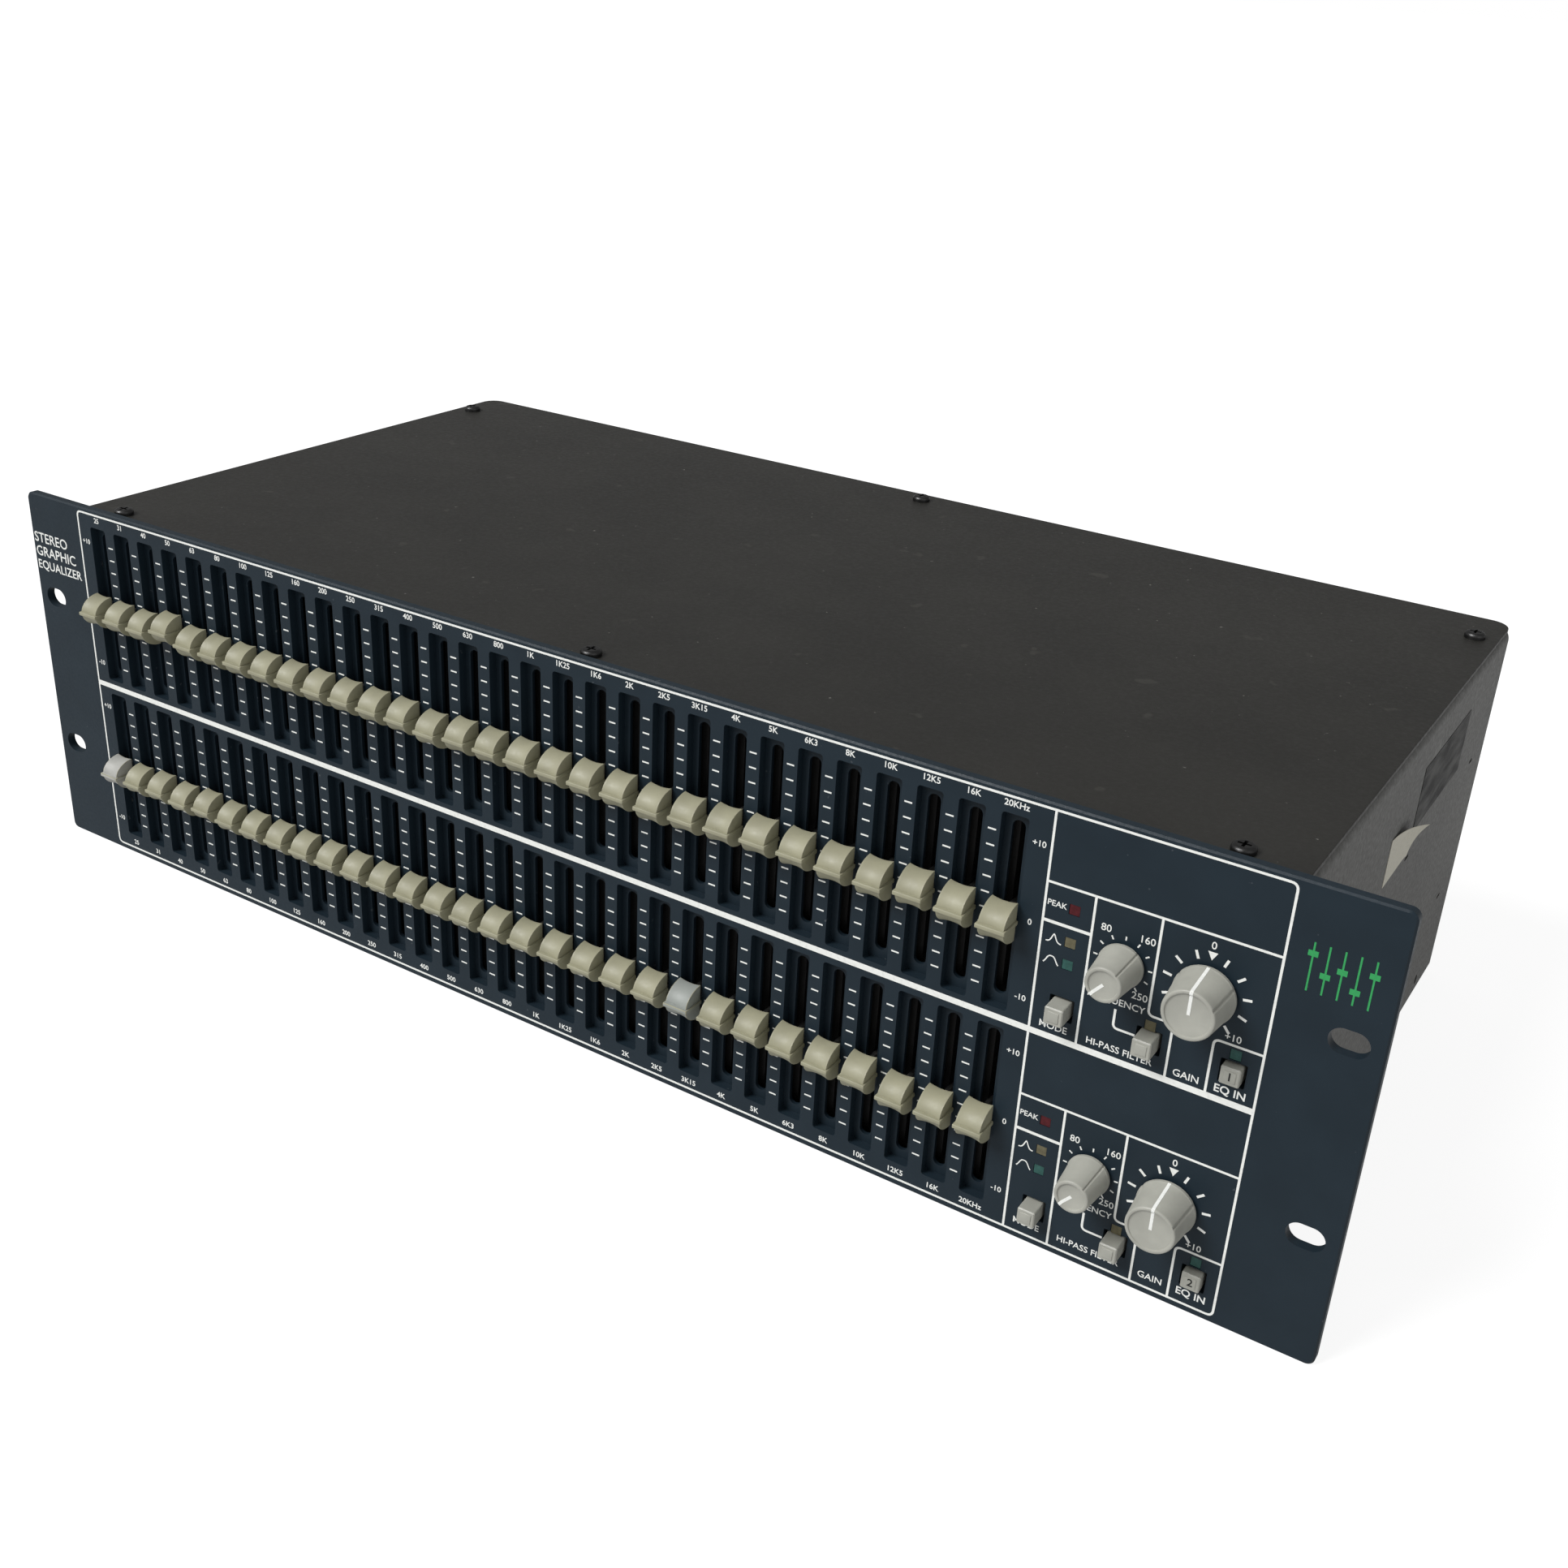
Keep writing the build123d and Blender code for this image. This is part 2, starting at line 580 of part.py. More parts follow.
with BuildPart() as board_screws:
    with Locations((*MAIN_BOARD_CENTRE, MAIN_BOARD_TOP)):
        with GridLocations(*BOARD_HOLE_PITCH, 3, 2):
            add(pan_screw.part)
write(board_screws.part, "board_screws")

# ---- Filter chips: dual in-line packages in rows across the main board ----
with BuildPart() as filter_chips:
    with BuildSketch(Plane.XY.offset(MAIN_BOARD_TOP)):
        with Locations(CHIP_FIELD_CENTRE):
            with GridLocations(24, 30, 9, 4):
                Rectangle(6.4, 19.3)
    extrude(amount=3.6)
    fillet(filter_chips.edges().filter_by(Axis.Y).group_by(Axis.Z)[-1], 0.4)
write(filter_chips.part, "filter_chips")

# ---- Capacitors: a row of small ones beside the chips, and two large ones for the supply ----
with BuildPart() as board_capacitors:
    with BuildSketch(Plane.XY.offset(MAIN_BOARD_TOP)):
        with Locations(CHIP_FIELD_CENTRE):
            with GridLocations(24, 30, 8, 4):
                Circle(4.0)
    extrude(amount=12.0)
    with BuildSketch(Plane.XY.offset(MAIN_BOARD_TOP)):
        with Locations(*SUPPLY_CAPACITORS):
            Circle(12.5)
    extrude(amount=35.0)
    tops = board_capacitors.faces().filter_by(lambda face: face.normal_at().Z > 0.5)
    fillet(tops.edges(), 0.6)
write(board_capacitors.part, "board_capacitors")

# ---- Heat sink: a finned bar on the main board ----
with BuildPart() as heat_sink:
    with BuildSketch(Plane.XY.offset(MAIN_BOARD_TOP)):
        with Locations(HEAT_SINK_CENTRE):
            Rectangle(4.0, 60.0)
            with Locations((5.0, 0)):
                with GridLocations(1, 8, 1, 8):
                    Rectangle(10.0, 1.5)
    extrude(amount=30.0)
write(heat_sink.part, "heat_sink")

# ---- Mains transformer: a wound ring, held by a bolt and a dished washer ----
with BuildPart() as mains_transformer:
    with BuildSketch(upright(TRANSFORMER_CENTRE[1])):
        winding_radius = (TRANSFORMER_RADIUS + TRANSFORMER_EYE) / 2
        with Locations((TRANSFORMER_CENTRE[0] + winding_radius, FLOOR_TOP + TRANSFORMER_HEIGHT / 2)):
            RectangleRounded(TRANSFORMER_RADIUS - TRANSFORMER_EYE, TRANSFORMER_HEIGHT, 9.0)
    revolve(axis=Axis((*TRANSFORMER_CENTRE, 0), (0, 0, 1)))
write(mains_transformer.part, "mains_transformer")

with BuildPart() as transformer_bolt:
    with Locations((*TRANSFORMER_CENTRE, FLOOR_TOP)):
        Cylinder(3.0, TRANSFORMER_HEIGHT + 8, align=(Align.CENTER, Align.CENTER, Align.MIN))
    with Locations((*TRANSFORMER_CENTRE, FLOOR_TOP + TRANSFORMER_HEIGHT)):
        Cylinder(25.0, 1.5, align=(Align.CENTER, Align.CENTER, Align.MIN))
    with BuildSketch(Plane.XY.offset(FLOOR_TOP + TRANSFORMER_HEIGHT + 1.5)):
        with Locations(TRANSFORMER_CENTRE):
            RegularPolygon(5.8, 6)
    extrude(amount=5.0)
write(transformer_bolt.part, "transformer_bolt")

# ---- Ribbon cables: from the fader board down to the main board ----
with BuildPart() as ribbon_cables:
    with BuildSketch(Plane.YZ.offset(RIBBON_CENTRES[0])) as ribbon_side:
        with BuildLine():
            Polyline(
                (TRACK_BACK + BOARD_THICK, RIBBON_TOP),
                (RIBBON_DROP_Y, RIBBON_TOP),
                (RIBBON_DROP_Y, MAIN_BOARD_TOP),
            )
            offset(amount=RIBBON_THICK, side=Side.RIGHT, closed=True)
        make_face()
    extrude(amount=RIBBON_WIDTH / 2, both=True)
    bend = ribbon_cables.edges().filter_by(Axis.X).sort_by(Axis.Z)[-4:].sort_by(Axis.Y)[-2:]
    fillet(bend, RIBBON_THICK * 0.9)
    with Locations(*[(x - RIBBON_CENTRES[0], 0, 0) for x in RIBBON_CENTRES[1:]]):
        add(ribbon_cables.part)
write(ribbon_cables.part, "ribbon_cables")

# ---- Balanced input sockets: a barrel with three contact holes in a square plate ----
with BuildPart() as input_sockets:
    with BuildSketch(upright(CASE_BACK)):
        with Locations(*INPUT_SOCKETS):
            RectangleRounded(*SOCKET_PLATE, 2.0)
    extrude(amount=-2.5)
    with BuildSketch(upright(CASE_BACK)):
        with Locations(*INPUT_SOCKETS):
            Circle(SOCKET_BARREL_RADIUS)
    extrude(amount=18.0)
    with BuildSketch(upright(CASE_BACK + 2.5)):
        with Locations(*INPUT_SOCKETS):
            with PolarLocations(CONTACT_CIRCLE_RADIUS, 3, start_angle=-90):
                Circle(1.5)
    extrude(amount=14.0, mode=Mode.SUBTRACT)
    with BuildSketch(upright(CASE_BACK + 2.5)):
        with Locations(*socket_screw_points()[:4]):
            Circle(SCREW_HOLE_RADIUS)
    extrude(amount=2.5, mode=Mode.SUBTRACT)
write(input_sockets.part, "input_sockets")

# ---- Balanced output plugs: a deep cup with three pins in a square plate ----
with BuildPart() as output_plugs:
    with BuildSketch(upright(CASE_BACK)):
        with Locations(*OUTPUT_SOCKETS):
            RectangleRounded(*SOCKET_PLATE, 2.0)
    extrude(amount=-2.5)
    with BuildSketch(upright(CASE_BACK)):
        with Locations(*OUTPUT_SOCKETS):
            Circle(SOCKET_BARREL_RADIUS)
    extrude(amount=18.0)
    with BuildSketch(upright(CASE_BACK + 2.5)):
        with Locations(*OUTPUT_SOCKETS):
            Circle(PLUG_CUP_RADIUS)
            with PolarLocations(CONTACT_CIRCLE_RADIUS, 3, start_angle=-90):
                Circle(1.2, mode=Mode.SUBTRACT)
    extrude(amount=PLUG_CUP_DEPTH, mode=Mode.SUBTRACT)
    with BuildSketch(upright(CASE_BACK + 2.5)):
        with Locations(*socket_screw_points()[4:]):
            Circle(SCREW_HOLE_RADIUS)
    extrude(amount=2.5, mode=Mode.SUBTRACT)
write(output_plugs.part, "output_plugs")

# ---- Mains inlet: a three-blade appliance inlet ----
with BuildPart() as mains_inlet:
    with BuildSketch(upright(CASE_BACK)):
        with Locations(INLET):
            RectangleRounded(50.0, 24.0, 6.0)
    extrude(amount=-3.0)
    with BuildSketch(upright(CASE_BACK)):
        with Locations(INLET):
            Rectangle(*INLET_BODY)
    extrude(amount=18.0)
    with BuildSketch(upright(CASE_BACK + 3.0)):
        with Locations(INLET):
            RectangleRounded(*INLET_MOUTH, 2.0)
            for x, z in INLET_BLADES:
                with Locations((x, z)):
                    Rectangle(2.0, 4.0, mode=Mode.SUBTRACT)
    extrude(amount=INLET_DEPTH, mode=Mode.SUBTRACT)
    with BuildSketch(upright(CASE_BACK + 3.0)):
        with Locations(INLET):
            with GridLocations(INLET_SCREW_PITCH, 1, 2, 1):
                Circle(SCREW_HOLE_RADIUS)
    extrude(amount=3.0, mode=Mode.SUBTRACT)
write(mains_inlet.part, "mains_inlet")

# ---- Fuse holder: a barrel through the rear panel with a slotted cap ----
with BuildPart() as fuse_holder:
    with BuildSketch(upright(CASE_BACK + FUSE_CAP_LENGTH)):
        with Locations(FUSE):
            Circle(FUSE_RADIUS + 1.5)
    extrude(amount=FUSE_CAP_LENGTH)
    with BuildSketch(upright(CASE_BACK)):
        with Locations(FUSE):
            Circle(FUSE_RADIUS)
    extrude(amount=30.0)
    with BuildSketch(upright(CASE_BACK + FUSE_CAP_LENGTH)):
        with Locations(FUSE):
            Rectangle(9.0, 1.4)
    extrude(amount=1.5, mode=Mode.SUBTRACT)
write(fuse_holder.part, "fuse_holder")

# ---- Screws that hold the connectors to the rear panel ----
with BuildPart() as rear_screws:
    for x, z in socket_screw_points():
        with Locations(Plane((x, CASE_BACK + 2.5, z), x_dir=(1, 0, 0), z_dir=(0, 1, 0))):
            add(pan_screw.part)
    for side in (-1, 1):
        screw_x = INLET[0] + side * INLET_SCREW_PITCH / 2
        with Locations(Plane((screw_x, CASE_BACK + 3.0, INLET[1]), x_dir=(1, 0, 0), z_dir=(0, 1, 0))):
            add(pan_screw.part)
write(rear_screws.part, "rear_screws")
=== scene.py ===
"""Looks for a two-channel graphic equalizer: prints, caps, knobs, labels and materials."""

import math

import bmesh
import bpy
from mathutils import Matrix, Vector


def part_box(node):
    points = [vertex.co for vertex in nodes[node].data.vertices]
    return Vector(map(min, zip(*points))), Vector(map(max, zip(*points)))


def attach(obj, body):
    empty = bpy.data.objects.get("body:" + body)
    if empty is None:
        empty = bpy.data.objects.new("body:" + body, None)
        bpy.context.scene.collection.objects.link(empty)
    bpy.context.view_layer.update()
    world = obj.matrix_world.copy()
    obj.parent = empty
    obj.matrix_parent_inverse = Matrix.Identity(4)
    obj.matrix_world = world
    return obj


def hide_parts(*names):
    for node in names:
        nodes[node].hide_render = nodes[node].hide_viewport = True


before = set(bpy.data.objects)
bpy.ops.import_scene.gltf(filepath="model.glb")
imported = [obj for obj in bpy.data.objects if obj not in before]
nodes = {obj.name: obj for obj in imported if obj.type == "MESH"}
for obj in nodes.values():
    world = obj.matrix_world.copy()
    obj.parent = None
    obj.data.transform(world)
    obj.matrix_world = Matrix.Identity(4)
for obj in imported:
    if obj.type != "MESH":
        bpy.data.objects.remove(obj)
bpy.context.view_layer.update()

MM = 0.001
PRINT_THICK = 0.04

# The panel's layout, in millimetres: x along the panel and z up from its middle
BANDS = 30
BAND_PITCH = 12.0
FIRST_BAND_X = -204.5
ROW_ZERO = {"upper": 31.75, "lower": -30.25}
ROW_REST = -1.0
CAP_OFFSETS = {
    "upper": {3: 2.2, 13: -1.0, 20: -0.7, 22: 0.4, 23: 0.8, 24: 0.8, 25: 0.3, 27: 1.2, 28: 0.5},
    "lower": {2: 0.6, 4: 0.8, 21: 0.5, 22: 0.25, 23: 0.5, 25: -0.3, 27: -1.6, 28: -1.25, 29: -0.4},
}
OCTAVES = ["31hz", "63hz", "125hz", "250hz", "500hz", "1khz", "2khz", "4khz", "8khz", "16khz"]
BAND_NAMES = (
    "25 31 40 50 63 80 100 125 160 200 250 315 400 500 630 800 "
    "1K 1K25 1K6 2K 2K5 3K15 4K 5K 6K3 8K 10K 12K5 16K 20KHz"
).split()
BAND_NAME_HEIGHT = {"upper": 62.75, "lower": -61.35}
CHANNELS = {"upper": 0.0, "lower": -64.3}
FRAME_HALF_X = 214.3
FRAME_LOW = -63.85
FRAME_HIGH = 64.65
BAND_LINE_Z = 0.95
CONTROL_LEFT = 154.0
GAIN_CENTRE = (197.8, 28.9)
FREQUENCY_CENTRE = (176.2, 29.0)
EQ_CENTRE = (207.6, 9.6)


def band_x(band):
    """The middle of one fader slot."""
    return FIRST_BAND_X + BAND_PITCH * band


def turned(angle):
    """The direction at an angle in degrees, clockwise from straight up as seen from the front."""
    return math.sin(math.radians(angle)), math.cos(math.radians(angle))


# ---- Camera and light ----

CAMERA_PLACE = (0.29547, -0.3616, 0.25358)
CAMERA_RIGHT = Vector((0.83811, 0.54359, 0.04569))
CAMERA_DOWN = Vector((0.27073, -0.34178, -0.89994))
CAMERA_AHEAD = Vector((-0.47358, 0.76662, -0.43361))
FLOOR_HEIGHT = -0.06625


def make_camera():
    """A camera close above the right-hand end of the panel, rolled a little."""
    data = bpy.data.cameras.new("camera")
    data.sensor_width = 36.0
    data.lens = 40.09
    data.shift_x = 0.0072
    data.shift_y = -0.0047
    data.clip_start = 0.01
    camera = bpy.data.objects.new("camera", data)
    bpy.context.scene.collection.objects.link(camera)
    turn = Matrix((CAMERA_RIGHT, -CAMERA_DOWN, -CAMERA_AHEAD)).transposed()
    camera.matrix_world = Matrix.Translation(CAMERA_PLACE) @ turn.to_4x4()
    bpy.context.scene.camera = camera


def sun_light(name, towards, spread, power):
    """Soft light from far away that travels in one direction."""
    data = bpy.data.lights.new(name, "SUN")
    data.energy = power
    data.angle = math.radians(spread)
    light = bpy.data.objects.new(name, data)
    bpy.context.scene.collection.objects.link(light)
    light.rotation_euler = Vector(towards).to_track_quat("-Z", "Y").to_euler()


def seen_strength(tree, lighting, seen):
    """A strength that is one value where it lights the object and another where the camera sees it."""
    path = tree.nodes.new("ShaderNodeLightPath")
    strength = tree.nodes.new("ShaderNodeMapRange")
    strength.inputs["To Min"].default_value = lighting
    strength.inputs["To Max"].default_value = seen
    tree.links.new(path.outputs["Is Camera Ray"], strength.inputs["Value"])
    return strength.outputs["Result"]


def make_light():
    """Dim surroundings that look white, a soft key from the front left and a weak fill from the right."""
    world = bpy.data.worlds.new("studio")
    world.use_nodes = True
    bpy.context.scene.world = world
    background = world.node_tree.nodes["Background"]
    background.inputs["Color"].default_value = (1.0, 1.0, 1.0, 1.0)
    world.node_tree.links.new(seen_strength(world.node_tree, 0.3, 1.0), background.inputs["Strength"])
    sun_light("key", (0.42, 0.57, -0.71), 28.0, 3.2)
    sun_light("fill", (-0.85, 0.4, -0.35), 50.0, 0.35)
    bpy.context.scene.view_settings.view_transform = "Standard"


# ---- Materials ----


def new_material(name, colour, roughness, **sockets):
    """A principled material with its plain values set on the shader's own sockets."""
    made = bpy.data.materials.new(name)
    made.use_nodes = True
    shader = made.node_tree.nodes["Principled BSDF"]
    shader.inputs["Base Color"].default_value = (*colour, 1.0)
    shader.inputs["Roughness"].default_value = roughness
    for socket, value in sockets.items():
        shader.inputs[socket.replace("_", " ")].default_value = value
    return made


def texture(made, kind, scale, detail=3.0, stretch=(1, 1, 1)):
    """A noise or voronoi texture in the object's own coordinates."""
    tree = made.node_tree
    where = tree.nodes.new("ShaderNodeTexCoord")
    mapping = tree.nodes.new("ShaderNodeMapping")
    mapping.inputs["Scale"].default_value = stretch
    made_texture = tree.nodes.new(kind)
    made_texture.inputs["Scale"].default_value = scale
    if "Detail" in made_texture.inputs:
        made_texture.inputs["Detail"].default_value = detail
    tree.links.new(where.outputs["Object"], mapping.inputs["Vector"])
    tree.links.new(mapping.outputs["Vector"], made_texture.inputs["Vector"])
    return made_texture


def ramp(made, source, stops):
    """A colour ramp of (position, colour) stops on a texture's value."""
    tree = made.node_tree
    node = tree.nodes.new("ShaderNodeValToRGB")
    elements = node.color_ramp.elements
    while len(elements) < len(stops):
        elements.new(0.5)
    for element, (place, colour) in zip(elements, stops):
        element.position = place
        element.color = (*colour, 1.0)
    tree.links.new(source, node.inputs["Fac"])
    return node


def mottle(made, scale, colours, low=0.35, high=0.65, detail=3.0, stretch=(1, 1, 1)):
    """Vary the base colour between two close colours."""
    noise = texture(made, "ShaderNodeTexNoise", scale, detail, stretch)
    blend = ramp(made, noise.outputs["Fac"], [(low, colours[0]), (high, colours[1])])
    shader = made.node_tree.nodes["Principled BSDF"]
    made.node_tree.links.new(blend.outputs["Color"], shader.inputs["Base Color"])
    return blend


def speckle(made, under, colour, scale, threshold):
    """Lay sparse specks of dust or wear over the colour below."""
    tree = made.node_tree
    noise = texture(made, "ShaderNodeTexNoise", scale, 2.0)
    mask = ramp(made, noise.outputs["Fac"], [(threshold, (0, 0, 0)), (threshold + 0.03, (1, 1, 1))])
    mix = tree.nodes.new("ShaderNodeMix")
    mix.data_type = "RGBA"
    mix.inputs["B"].default_value = (*colour, 1.0)
    tree.links.new(mask.outputs["Color"], mix.inputs["Factor"])
    tree.links.new(under, mix.inputs["A"])
    tree.links.new(mix.outputs["Result"], tree.nodes["Principled BSDF"].inputs["Base Color"])
    return mix.outputs["Result"]


def rough_grain(made, scale, low, high):
    """Vary the roughness between two values."""
    noise = texture(made, "ShaderNodeTexNoise", scale)
    spread = ramp(made, noise.outputs["Fac"], [(0.3, (low,) * 3), (0.7, (high,) * 3)])
    shader = made.node_tree.nodes["Principled BSDF"]
    made.node_tree.links.new(spread.outputs["Color"], shader.inputs["Roughness"])


def grain(made, scale, height, detail=2.0, stretch=(1, 1, 1)):
    """A fine surface texture of a given height in metres."""
    tree = made.node_tree
    noise = texture(made, "ShaderNodeTexNoise", scale, detail, stretch)
    bump = tree.nodes.new("ShaderNodeBump")
    bump.inputs["Distance"].default_value = height
    bump.inputs["Strength"].default_value = 1.0
    tree.links.new(noise.outputs["Fac"], bump.inputs["Height"])
    tree.links.new(bump.outputs["Normal"], tree.nodes["Principled BSDF"].inputs["Normal"])


def panel_paint():
    """Dark blue-grey satin paint with a fine grain and faint rubbed specks."""
    made = new_material("panel_paint", (0.0115, 0.0205, 0.0290), 0.42, Specular_IOR_Level=0.18)
    blend = mottle(made, 60, [(0.0106, 0.0190, 0.0270), (0.0124, 0.0220, 0.0310)])
    speckle(made, blend.outputs["Color"], (0.045, 0.055, 0.065), 420, 0.735)
    rough_grain(made, 900, 0.36, 0.5)
    grain(made, 2600, 0.000012)
    return made


def case_paint(name, colour):
    """A powder coat of the given colour, with dust specks and handling marks: warm black on the cover; on the
    tray a lighter grey that is partly painted sheen for the brighter light grazing the case's right side.
    """
    made = new_material(name, colour, 0.5, Specular_IOR_Level=0.4)
    shades = [tuple(share * value for value in colour) for share in (0.88, 1.14)]
    blend = mottle(made, 25, shades, detail=5.0)
    dust = speckle(made, blend.outputs["Color"], (0.12, 0.115, 0.105), 520, 0.76)
    speckle(made, dust, tuple(1.7 * value for value in colour), 90, 0.71)
    rough_grain(made, 700, 0.45, 0.62)
    grain(made, 1500, 0.00003)
    return made


def moulded(name, colour, roughness=0.5, height=0.000008):
    """A moulded plastic with a fine sparked surface and slightly uneven colour."""
    made = new_material(name, colour, roughness)
    darker = tuple(0.93 * value for value in colour)
    lighter = tuple(1.05 * value for value in colour)
    mottle(made, 160, [darker, lighter])
    rough_grain(made, 1200, roughness - 0.06, roughness + 0.08)
    grain(made, 4000, height)
    return made


def lens(name, colour):
    """A diffused, unlit lamp lens."""
    made = new_material(name, colour, 0.35, Specular_IOR_Level=0.18)
    mottle(made, 700, [tuple(0.8 * value for value in colour), tuple(1.15 * value for value in colour)])
    grain(made, 2500, 0.00001)
    return made


def ink(name, colour):
    """Screen-printing ink, a little uneven at its edges."""
    made = new_material(name, colour, 0.55, Specular_IOR_Level=0.2)
    mottle(made, 900, [tuple(0.9 * value for value in colour), colour], 0.3, 0.5)
    grain(made, 3000, 0.00001)
    return made


def torn_glue():
    """Dirty, streaked grey glue left where a label was pulled off."""
    made = new_material("torn_glue", (0.035, 0.035, 0.034), 0.7, Specular_IOR_Level=0.2)
    shades = [(0.018, 0.018, 0.018), (0.085, 0.085, 0.082)]
    mottle(made, 70, shades, 0.36, 0.66, detail=6.0, stretch=(1, 1, 4))
    grain(made, 1500, 0.00004)
    return made


def metal(name, colour, roughness, brushed=(1, 1, 1)):
    """A bare or plated metal, brushed along one direction."""
    made = new_material(name, colour, roughness, Metallic=1.0)
    mottle(made, 300, [tuple(0.85 * value for value in colour), colour], stretch=brushed)
    rough_grain(made, 500, roughness - 0.06, roughness + 0.1)
    grain(made, 1800, 0.000008, stretch=brushed)
    return made


def make_materials():
    """Every material of the object, by name."""
    return {
        "panel": panel_paint(),
        "cover": case_paint("cover_paint", (0.0155, 0.015, 0.0128)),
        # The tray's grey is lighter than the cover's warm black. This is partly the tray's own paint and
        # partly a painted sheen that stands in for the brighter grazing light on the right side wall.
        "tray": case_paint("tray_paint_and_painted_sheen", (0.058, 0.058, 0.053)),
        "khaki": moulded("khaki_plastic", (0.29, 0.28, 0.192)),
        "pale": moulded("pale_grey_plastic", (0.37, 0.37, 0.345)),
        "bluish": moulded("bluish_grey_plastic", (0.262, 0.28, 0.262)),
        "control": moulded("control_plastic", (0.345, 0.345, 0.305), 0.42),
        "black_plastic": moulded("black_plastic", (0.018, 0.018, 0.018), 0.45),
        "board": moulded("board_green", (0.02, 0.12, 0.045), 0.35),
        "ribbon": moulded("ribbon_grey", (0.35, 0.35, 0.36), 0.55),
        "winding": moulded("winding_tape", (0.5, 0.36, 0.06), 0.3),
        "red": lens("red_lens", (0.07, 0.009, 0.012)),
        "amber": lens("amber_lens", (0.122, 0.11, 0.066)),
        "green": lens("green_lens", (0.028, 0.088, 0.077)),
        "white_ink": ink("white_ink", (0.78, 0.79, 0.76)),
        "green_ink": ink("green_ink", (0.035, 0.31, 0.095)),
        "black_ink": ink("black_ink", (0.02, 0.02, 0.02)),
        "cream": ink("cream_paper", (0.52, 0.5, 0.42)),
        "patch": torn_glue(),
        "black_screw": metal("black_zinc", (0.06, 0.06, 0.06), 0.4),
        "zinc": metal("bright_zinc", (0.6, 0.6, 0.58), 0.3, (1, 8, 1)),
        "nickel": metal("satin_nickel", (0.5, 0.5, 0.5), 0.32),
        "aluminium": metal("plain_aluminium", (0.65, 0.65, 0.66), 0.35, (1, 1, 8)),
    }


NODE_MATERIALS = {
    "panel": ["front_panel", "sub_panel"],
    "cover": ["top_cover", "rear_panel"],
    "tray": ["chassis_tray"],
    "zinc": ["panel_studs", "board_standoffs", "board_screws", "transformer_bolt"],
    "black_screw": ["cover_screws", "rear_screws"],
    "board": ["fader_board", "control_board", "main_board"],
    "black_plastic": [
        "fader_tracks", "filter_chips", "board_capacitors", "mains_inlet", "fuse_holder", "push_switches",
    ],
    "aluminium": ["control_pots", "heat_sink"],
    "nickel": ["input_sockets", "output_plugs"],
    "winding": ["mains_transformer"],
    "ribbon": ["ribbon_cables"],
    "red": ["peak_lamps"],
    "amber": ["amber_lamps"],
    "green": ["green_lamps"],
    "control": [f"{row}_{name}_button" for row in CHANNELS for name in ("mode", "filter", "eq")],
}


def dress_nodes(materials):
    """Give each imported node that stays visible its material."""
    for material, names in NODE_MATERIALS.items():
        for name in names:
            slots = nodes[name].data.materials
            slots.clear()
            slots.append(materials[material])


# ---- Mesh helpers ----


def finish_mesh(name, mesh_data, materials, body, sharp_angle=35.0):
    """Turn a bmesh in millimetres into a smooth-shaded piece that rides on a body."""
    bmesh.ops.recalc_face_normals(mesh_data, faces=mesh_data.faces)
    mesh = bpy.data.meshes.new(name)
    mesh_data.to_mesh(mesh)
    mesh_data.free()
    mesh.transform(Matrix.Scale(MM, 4))
    for face in mesh.polygons:
        face.use_smooth = True
    mesh.set_sharp_from_angle(angle=math.radians(sharp_angle))
    for material in materials:
        mesh.materials.append(material)
    piece = bpy.data.objects.new(name, mesh)
    bpy.context.scene.collection.objects.link(piece)
    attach(piece, body)
    return piece


def block(mesh, low, high, bevel=0.0, material=0):
    """A box with bevelled edges."""
    made = bmesh.ops.create_cube(mesh, size=1.0)
    corners = made["verts"]
    for corner in corners:
        for axis in range(3):
            corner.co[axis] = low[axis] if corner.co[axis] < 0 else high[axis]
    faces = {face for corner in corners for face in corner.link_faces}
    for face in faces:
        face.material_index = material
    if bevel:
        edges = list({edge for corner in corners for edge in corner.link_edges})
        bmesh.ops.bevel(mesh, geom=edges, offset=bevel, segments=3, profile=0.5, affect="EDGES")


def strip(mesh, points, width, closed=False, front=-PRINT_THICK):
    """A printed line of one width along points on the panel's face."""
    count = len(points)
    rails = []
    for index, (x, z) in enumerate(points):
        before = points[index - 1] if index or closed else points[index]
        after = points[(index + 1) % count] if index < count - 1 or closed else points[index]
        ahead = Vector((after[0] - before[0], after[1] - before[1])).normalized()
        here = Vector((after[0] - x, after[1] - z))
        here = here.normalized() if here.length else ahead
        spread = width / 2 / max(0.5, ahead.dot(here))
        side = Vector((-ahead.y, ahead.x)) * spread
        corners = [(x + s * side.x, y, z + s * side.y) for s in (1, -1) for y in (front, 0)]
        rails.append([mesh.verts.new(corner) for corner in corners])
    for index in range(count if closed else count - 1):
        left, left_back, right, right_back = rails[index]
        next_left, next_left_back, next_right, next_right_back = rails[(index + 1) % count]
        mesh.faces.new((right, next_right, next_left, left))
        mesh.faces.new((left_back, next_left_back, next_right_back, right_back))
        mesh.faces.new((left, next_left, next_left_back, left_back))
        mesh.faces.new((right_back, next_right_back, next_right, right))
    if not closed:
        for left, left_back, right, right_back in (rails[0], rails[-1]):
            mesh.faces.new((left, left_back, right_back, right))


def rounded(corners, radius, closed=False, steps=5):
    """The corners of a line with each inner one rounded to a radius."""
    points = []
    count = len(corners)
    for index, corner in enumerate(corners):
        here = Vector(corner)
        if not closed and index in (0, count - 1):
            points.append(tuple(here))
            continue
        start = here + (Vector(corners[index - 1]) - here).normalized() * radius
        end = here + (Vector(corners[(index + 1) % count]) - here).normalized() * radius
        for step in range(steps + 1):
            t = step / steps
            points.append(tuple((1 - t) ** 2 * start + 2 * t * (1 - t) * here + t * t * end))
    return points


